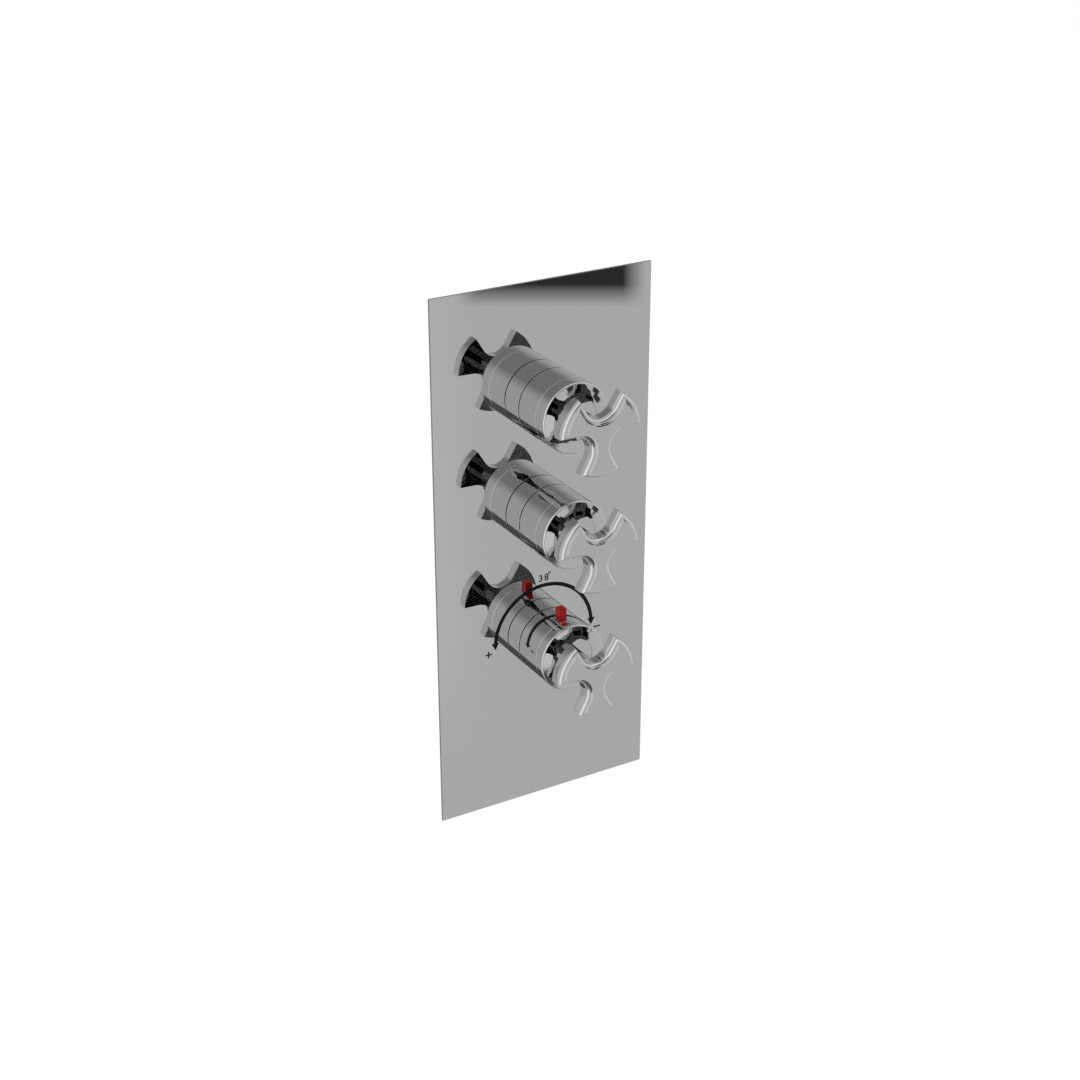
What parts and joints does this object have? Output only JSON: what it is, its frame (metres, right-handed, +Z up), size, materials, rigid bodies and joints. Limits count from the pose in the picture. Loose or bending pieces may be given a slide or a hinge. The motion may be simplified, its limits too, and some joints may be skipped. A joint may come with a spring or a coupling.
{
  "type": "thermostatic shower valve",
  "caption": "Concealed thermostatic shower valve: mirror-chrome rectangular faceplate carrying round barrels with three-armed handles in a column, over a brass body set in the wall.",
  "frame": {"origin": "centre of the faceplate's outline, on the finished wall where the faceplate's seal rests", "axes": "+Y into the wall, so the handles point to -Y; +Z up along the column of handles; +X to the right as the user faces the wall"},
  "size_m": [0.16, 0.1265, 0.306],
  "materials": {
    "chromed_steel": "mirror-polished chrome plate on thin sheet steel",
    "chrome": "mirror-polished chrome plate on turned and cast brass",
    "cast_brass": "as-cast brass, dull and slightly grained, machined at the ports",
    "turned_brass": "turned brass, fine tool rings",
    "zinc_steel": "zinc-plated steel",
    "spring_steel": "bright stainless spring steel",
    "alumina": "lapped alumina ceramic, satin white",
    "black_rubber": "black nitrile rubber, matt",
    "black_foam": "closed-cell black foam sheet",
    "nylon": "glass-filled black nylon",
    "white_acetal": "white acetal",
    "red_plastic": "glossy red plastic",
    "red_fibre": "pressed red fibre",
    "copper_capsule": "bare copper"
  },
  "bodies": {
    "base": {"faceplate": "chromed_steel", "faceplate_seal": "black_foam", "valve_body": "cast_brass", "wall_brackets": "zinc_steel", "bracket_screws": "zinc_steel", "shroud_carriers": "nylon", "shroud_seals": "black_rubber", "flow_fixed_discs": "alumina", "flow_seat_seals": "black_rubber", "flow_cartridge_rings": "black_rubber", "flow_retaining_nuts": "turned_brass", "thermostat_cartridge": "turned_brass", "thermostat_rings": "black_rubber", "thermostat_retaining_nut": "turned_brass", "stop_ring": "nylon", "return_spring": "spring_steel", "hot_check_spring": "spring_steel", "cold_check_spring": "spring_steel", "hot_inlet_union": "turned_brass", "cold_inlet_union": "turned_brass", "check_valve_housings": "white_acetal", "check_valve_rings": "black_rubber", "inlet_filters": "spring_steel", "fibre_washers": "red_fibre", "blanking_plug": "turned_brass", "flow_1_cartridge": "turned_brass", "flow_1_collar": "chrome", "flow_2_cartridge": "turned_brass", "flow_2_collar": "chrome", "temperature_collar": "chrome"},
    "flow_control_1": {"flow_1_barrel": "chrome", "flow_1_handle": "chrome", "flow_1_grub_screw": "spring_steel", "flow_1_spindle": "turned_brass", "flow_1_spindle_ring": "black_rubber", "flow_1_spindle_clip": "spring_steel", "flow_1_moving_disc": "alumina"},
    "flow_control_2": {"flow_2_barrel": "chrome", "flow_2_handle": "chrome", "flow_2_grub_screw": "spring_steel", "flow_2_spindle": "turned_brass", "flow_2_spindle_ring": "black_rubber", "flow_2_spindle_clip": "spring_steel", "flow_2_moving_disc": "alumina"},
    "temperature_control": {"temperature_barrel": "chrome", "temperature_handle": "chrome", "temperature_grub_screw": "spring_steel", "temperature_spindle": "turned_brass", "temperature_spindle_ring": "black_rubber", "temperature_spindle_clip": "spring_steel", "button_spring": "spring_steel"},
    "regulator": {"adjuster_nut": "nylon", "overload_spring": "spring_steel", "pin_seat": "turned_brass", "seat_clip": "spring_steel", "wax_element": "copper_capsule", "mixing_shuttle": "white_acetal"},
    "stop_key": {"stop_button": "red_plastic"},
    "hot_check": {"hot_poppet": "white_acetal"},
    "cold_check": {"cold_poppet": "white_acetal"}
  },
  "joints": [
    {"name": "flow_1_turn", "type": "hinge", "parent": "base", "child": "flow_control_1", "pos_m": [0, 0, 0.088], "axis": [0, -1, 0], "range_deg": [0, 90]},
    {"name": "flow_2_turn", "type": "hinge", "parent": "base", "child": "flow_control_2", "pos_m": [0, 0, 0.022], "axis": [0, -1, 0], "range_deg": [0, 90]},
    {"name": "temperature_turn", "type": "hinge", "parent": "base", "child": "temperature_control", "pos_m": [0, 0, -0.052], "axis": [0, -1, 0], "range_deg": [-90, 90]},
    {"name": "regulator_slide", "type": "slide", "parent": "base", "child": "regulator", "axis": [0, 1, 0], "range_m": [-0.0015, 0.0015], "deforming": ["return_spring"]},
    {"name": "stop_button_press", "type": "slide", "parent": "temperature_control", "child": "stop_key", "axis": [0, 0, -1], "range_m": [0, 0.0025], "stiffness_N_per_m": 300, "springref_m": -0.002, "deforming": ["button_spring"]},
    {"name": "hot_check_lift", "type": "slide", "parent": "base", "child": "hot_check", "axis": [1, 0, 0], "range_m": [0, 0.003], "stiffness_N_per_m": 100, "springref_m": -0.002, "deforming": ["hot_check_spring"]},
    {"name": "cold_check_lift", "type": "slide", "parent": "base", "child": "cold_check", "axis": [-1, 0, 0], "range_m": [0, 0.003], "stiffness_N_per_m": 100, "springref_m": -0.002, "deforming": ["cold_check_spring"]}
  ],
  "couplings": [
    {"joint": "regulator_slide", "follows": "temperature_turn", "m_per_rad": 0.00095493}
  ]
}
